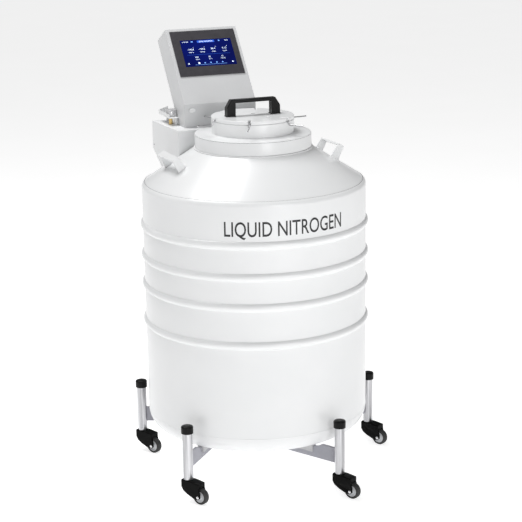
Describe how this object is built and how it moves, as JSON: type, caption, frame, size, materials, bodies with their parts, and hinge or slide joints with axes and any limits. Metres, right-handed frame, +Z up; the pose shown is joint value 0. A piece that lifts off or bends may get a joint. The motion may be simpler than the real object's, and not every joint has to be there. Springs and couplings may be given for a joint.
{
  "type": "liquid nitrogen dewar",
  "caption": "Wide-neck vacuum-insulated storage vessel with hung canisters, a lift-off lid, a rear valve box with a tilted level display, and a castor base.",
  "frame": {"origin": "on the floor, under the vessel's axis", "axes": "+Z up along the vessel's axis; -Y is the front, where the display faces; +X is to the right seen from the front"},
  "size_m": [0.7786, 0.8407, 1.3384],
  "materials": {
    "white_enamel": "smooth gloss enamel on aluminium",
    "white_sheet": "satin powder coat",
    "bare_aluminium": "spun, bare",
    "composite_neck": "glass-fibre composite",
    "foil_blanket": "crinkled foil",
    "machined_aluminium": "turned",
    "plug_foam": "closed-cell foam",
    "black_plastic": "gloss",
    "bezel_grey": "fine texture",
    "screen_glass": "lit display under glass",
    "circuit_board": "solder mask",
    "supply_case": "folded sheet",
    "brass_fittings": "turned",
    "stainless_steel": "turned",
    "canister_steel": "drawn stainless",
    "arm_plate": "satin grey",
    "post_aluminium": "satin",
    "pad_rubber": "matt",
    "castor_black": "moulded",
    "castor_grey": "moulded",
    "tread_black": "matt"
  },
  "bodies": {
    "vessel": {"outer_shell": "white_enamel", "shoulder_dome": "white_enamel", "lower_head": "white_enamel", "neck_collar": "white_enamel", "index_ring": "white_enamel", "left_carry_handle": "white_enamel", "right_carry_handle": "white_enamel", "rear_box": "white_sheet", "rear_box_cover": "white_sheet", "display_housing": "white_sheet", "housing_back_cover": "white_sheet", "valve_tray": "white_sheet", "inner_vessel": "bare_aluminium", "canister_spider": "bare_aluminium", "neck_tube": "composite_neck", "insulation_blanket": "foil_blanket", "vacuum_port": "machined_aluminium", "relief_valve": "machined_aluminium", "post_caps": "black_plastic", "mains_inlet": "black_plastic", "display_bezel": "bezel_grey", "display_glass": "screen_glass", "controller_board": "circuit_board", "power_supply": "supply_case", "solenoid_valves": "brass_fittings", "fill_pipe": "brass_fittings", "cover_screws": "stainless_steel", "level_probe": "stainless_steel", "fill_fitting": "stainless_steel", "base_arms": "arm_plate", "base_hub": "post_aluminium", "base_posts": "post_aluminium", "saddle_pads": "pad_rubber"},
    "lid": {"lid_cover": "white_enamel", "lid_plug": "plug_foam", "lid_handle": "black_plastic", "lid_screws": "stainless_steel", "lid_lock": "black_plastic"},
    "canister_1": {"canister_1": "canister_steel"},
    "canister_2": {"canister_2": "canister_steel"},
    "canister_3": {"canister_3": "canister_steel"},
    "canister_4": {"canister_4": "canister_steel"},
    "canister_5": {"canister_5": "canister_steel"},
    "canister_6": {"canister_6": "canister_steel"},
    "mute_button": {"mute_button": "black_plastic"},
    "castor_1": {"castor_fork_1": "castor_black"},
    "wheel_1": {"castor_wheel_1": "castor_grey", "castor_tyre_1": "tread_black"},
    "castor_2": {"castor_fork_2": "castor_black"},
    "wheel_2": {"castor_wheel_2": "castor_grey", "castor_tyre_2": "tread_black"},
    "castor_3": {"castor_fork_3": "castor_black"},
    "wheel_3": {"castor_wheel_3": "castor_grey", "castor_tyre_3": "tread_black"},
    "castor_4": {"castor_fork_4": "castor_black"},
    "wheel_4": {"castor_wheel_4": "castor_grey", "castor_tyre_4": "tread_black"},
    "castor_5": {"castor_fork_5": "castor_black"},
    "wheel_5": {"castor_wheel_5": "castor_grey", "castor_tyre_5": "tread_black"}
  },
  "joints": [
    {"name": "lid_lift", "type": "slide", "parent": "vessel", "child": "lid", "axis": [0, 0, 1], "range_m": [0, 0.25]},
    {"name": "canister_1_lift", "type": "slide", "parent": "vessel", "child": "canister_1", "axis": [0, 0, 1], "range_m": [0, 0.44]},
    {"name": "canister_2_lift", "type": "slide", "parent": "vessel", "child": "canister_2", "axis": [0, 0, 1], "range_m": [0, 0.44]},
    {"name": "canister_3_lift", "type": "slide", "parent": "vessel", "child": "canister_3", "axis": [0, 0, 1], "range_m": [0, 0.44]},
    {"name": "canister_4_lift", "type": "slide", "parent": "vessel", "child": "canister_4", "axis": [0, 0, 1], "range_m": [0, 0.44]},
    {"name": "canister_5_lift", "type": "slide", "parent": "vessel", "child": "canister_5", "axis": [0, 0, 1], "range_m": [0, 0.44]},
    {"name": "canister_6_lift", "type": "slide", "parent": "vessel", "child": "canister_6", "axis": [0, 0, 1], "range_m": [0, 0.44]},
    {"name": "mute_press", "type": "slide", "parent": "vessel", "child": "mute_button", "axis": [0, 1, 0], "range_m": [0, 0.003], "stiffness_N_per_m": 600, "springref_m": -0.001},
    {"name": "castor_1_swivel", "type": "hinge", "parent": "vessel", "child": "castor_1", "pos_m": [0.38493, 0.00739, 0.08], "axis": [0, 0, 1], "continuous": true},
    {"name": "wheel_1_roll", "type": "hinge", "parent": "castor_1", "child": "wheel_1", "pos_m": [0.40998, -0.03119, 0.025], "axis": [0.8387, 0.5446, 0], "continuous": true},
    {"name": "castor_2_swivel", "type": "hinge", "parent": "vessel", "child": "castor_2", "pos_m": [0.11192, 0.36837, 0.08], "axis": [0, 0, 1], "continuous": true},
    {"name": "wheel_2_roll", "type": "hinge", "parent": "castor_2", "child": "wheel_2", "pos_m": [0.13697, 0.32979, 0.025], "axis": [0.8387, 0.5446, 0], "continuous": true},
    {"name": "castor_3_swivel", "type": "hinge", "parent": "vessel", "child": "castor_3", "pos_m": [-0.31576, 0.22028, 0.08], "axis": [0, 0, 1], "continuous": true},
    {"name": "wheel_3_roll", "type": "hinge", "parent": "castor_3", "child": "wheel_3", "pos_m": [-0.2907, 0.1817, 0.025], "axis": [0.8387, 0.5446, 0], "continuous": true},
    {"name": "castor_4_swivel", "type": "hinge", "parent": "vessel", "child": "castor_4", "pos_m": [-0.30707, -0.23223, 0.08], "axis": [0, 0, 1], "continuous": true},
    {"name": "wheel_4_roll", "type": "hinge", "parent": "castor_4", "child": "wheel_4", "pos_m": [-0.28202, -0.27081, 0.025], "axis": [0.8387, 0.5446, 0], "continuous": true},
    {"name": "castor_5_swivel", "type": "hinge", "parent": "vessel", "child": "castor_5", "pos_m": [0.12598, -0.3638, 0.08], "axis": [0, 0, 1], "continuous": true},
    {"name": "wheel_5_roll", "type": "hinge", "parent": "castor_5", "child": "wheel_5", "pos_m": [0.15103, -0.40238, 0.025], "axis": [0.8387, 0.5446, 0], "continuous": true}
  ]
}
